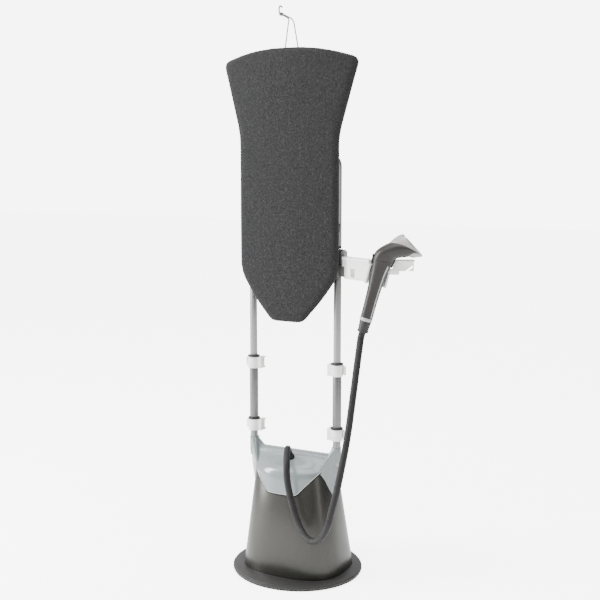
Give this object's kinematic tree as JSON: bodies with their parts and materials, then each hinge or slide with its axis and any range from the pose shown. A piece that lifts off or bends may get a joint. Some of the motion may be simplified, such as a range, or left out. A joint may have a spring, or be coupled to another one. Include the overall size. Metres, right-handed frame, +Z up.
{
  "type": "upright garment steamer with ironing board",
  "caption": "Upright garment steamer: floor base with boiler and tank, telescopic poles, a padded board that tilts, a folding hanger hook and a hand-held steam head on a hose in its dock.",
  "frame": {"origin": "on the floor, midway between the two poles' axes, on the underside of the base's middle foot pad", "axes": "+Z up along the poles, +X to the steam head's side, -Y is the ironing face's side"},
  "size_m": [0.621, 0.4336, 1.6712],
  "materials": {
    "graphite_shell": "satin, faint metallic",
    "graphite_plate": "fine matte grain",
    "black_rubber": "matte",
    "steel_fittings": "brushed",
    "charcoal_plastic": "fine grain",
    "cloud_plastic": "satin",
    "silver_tube": "satin anodised",
    "white_plastic": "satin",
    "boiler_metal": "cast",
    "inner_pipe": "smooth",
    "thermostat_black": "smooth",
    "circuit_green": "solder mask",
    "smoked_tank": "smoked, translucent",
    "panel_steel": "powder coat",
    "foam": "foam",
    "board_fabric": "heather weave",
    "hook_wire": "satin wire",
    "taupe_plastic": "satin, fine lines",
    "skirt_plastic": "satin",
    "sole_metal": "polished",
    "black_plastic": "fine grain",
    "hose_jacket": "soft sheen"
  },
  "bodies": {
    "root": {"base_plate": "graphite_plate", "foot_ring": "black_rubber", "base_screws": "steel_fittings", "chassis": "charcoal_plastic", "body_shell": "graphite_shell", "top_cover": "cloud_plastic", "yoke": "cloud_plastic", "stub_tubes": "silver_tube", "hose_gland": "black_rubber", "cord_inlet": "black_rubber", "boiler": "boiler_metal", "heating_element": "boiler_metal", "thermostat": "thermostat_black", "pump": "white_plastic", "water_pipes": "inner_pipe", "steam_pipe": "inner_pipe", "control_board": "circuit_green", "lower_tubes": "silver_tube", "lower_clamps": "white_plastic", "upper_clamps": "white_plastic", "clamp_collars": "charcoal_plastic", "lever_pins": "steel_fittings", "hose_lower": "hose_jacket"},
    "power_button": {"power_button": "cloud_plastic"},
    "water_tank": {"water_tank": "smoked_tank", "tank_valve": "white_plastic"},
    "filler_flap": {"filler_flap": "charcoal_plastic"},
    "lever_lower_left": {"lever_lower_left": "white_plastic"},
    "lever_lower_right": {"lever_lower_right": "white_plastic"},
    "lever_upper_left": {"lever_upper_left": "white_plastic"},
    "lever_upper_right": {"lever_upper_right": "white_plastic"},
    "mast": {"upper_tubes": "silver_tube", "pole_caps": "charcoal_plastic", "crossbar": "silver_tube", "hinge_pins": "steel_fittings", "dock_clamp": "charcoal_plastic", "dock_arm": "white_plastic", "dock_cradle": "cloud_plastic"},
    "tilt_knob": {"tilt_knob": "charcoal_plastic"},
    "board": {"frame_knuckles": "charcoal_plastic", "rear_frame": "silver_tube", "board_brackets": "charcoal_plastic", "board_panel": "panel_steel", "board_pad": "foam", "board_cover": "board_fabric", "hook_bracket": "steel_fittings"},
    "hanger_hook": {"hanger_hook": "hook_wire"},
    "steam_head": {"handle_shell": "taupe_plastic", "head_shell": "taupe_plastic", "sole_skirt": "skirt_plastic", "soleplate": "sole_metal", "trim_strip": "cloud_plastic", "hose_ring": "cloud_plastic", "hose_boot": "charcoal_plastic", "steam_valve": "boiler_metal", "hose_upper": "hose_jacket"},
    "trigger": {"trigger": "black_plastic"},
    "lock_slider": {"lock_slider": "black_plastic"}
  },
  "joints": [
    {"name": "mast_slide", "type": "slide", "parent": "root", "child": "mast", "axis": [0, 0, 1], "range_m": [-0.15, 0], "deforming": ["hose_lower"]},
    {"name": "board_tilt", "type": "hinge", "parent": "mast", "child": "board", "pos_m": [0, 0, 0.975], "axis": [-1, 0, 0], "range_deg": [0, 90]},
    {"name": "hook_fold", "type": "hinge", "parent": "board", "child": "hanger_hook", "pos_m": [0, -0.016, 1.512], "axis": [-1, 0, 0], "range_deg": [0, 150]},
    {"name": "tilt_knob_turn", "type": "hinge", "parent": "mast", "child": "tilt_knob", "pos_m": [0.158, 0, 0.975], "axis": [1, 0, 0], "range_deg": [0, 180]},
    {"name": "head_lift", "type": "slide", "parent": "mast", "child": "steam_head", "axis": [0.2246, 0.1144, 0.9677], "range_m": [0, 0.25], "deforming": ["hose_upper"]},
    {"name": "trigger_pull", "type": "slide", "parent": "steam_head", "child": "trigger", "axis": [-0.814, -0.4147, 0.4067], "range_m": [0, 0.003], "stiffness_N_per_m": 800, "springref_m": -0.003},
    {"name": "lock_slide", "type": "slide", "parent": "steam_head", "child": "lock_slider", "axis": [0.17, 0.0866, 0.9816], "range_m": [-0.004, 0.004]},
    {"name": "tank_pull", "type": "slide", "parent": "root", "child": "water_tank", "axis": [0, 1, 0], "range_m": [0, 0.2]},
    {"name": "flap_open", "type": "hinge", "parent": "water_tank", "child": "filler_flap", "pos_m": [0, 0.12707, 0.25023], "axis": [-1, 0, 0], "range_deg": [0, 80]},
    {"name": "power_press", "type": "slide", "parent": "root", "child": "power_button", "axis": [0, 0, -1], "range_m": [0, 0.002], "stiffness_N_per_m": 1500, "springref_m": -0.002},
    {"name": "lever_lower_left_flip", "type": "hinge", "parent": "root", "child": "lever_lower_left", "pos_m": [-0.117, 0.014, 0.44], "axis": [0, 0, -1], "range_deg": [0, 100]},
    {"name": "lever_lower_right_flip", "type": "hinge", "parent": "root", "child": "lever_lower_right", "pos_m": [0.117, 0.014, 0.44], "axis": [0, 0, 1], "range_deg": [0, 100]},
    {"name": "lever_upper_left_flip", "type": "hinge", "parent": "root", "child": "lever_upper_left", "pos_m": [-0.117, 0.014, 0.634], "axis": [0, 0, -1], "range_deg": [0, 100]},
    {"name": "lever_upper_right_flip", "type": "hinge", "parent": "root", "child": "lever_upper_right", "pos_m": [0.117, 0.014, 0.634], "axis": [0, 0, 1], "range_deg": [0, 100]}
  ]
}
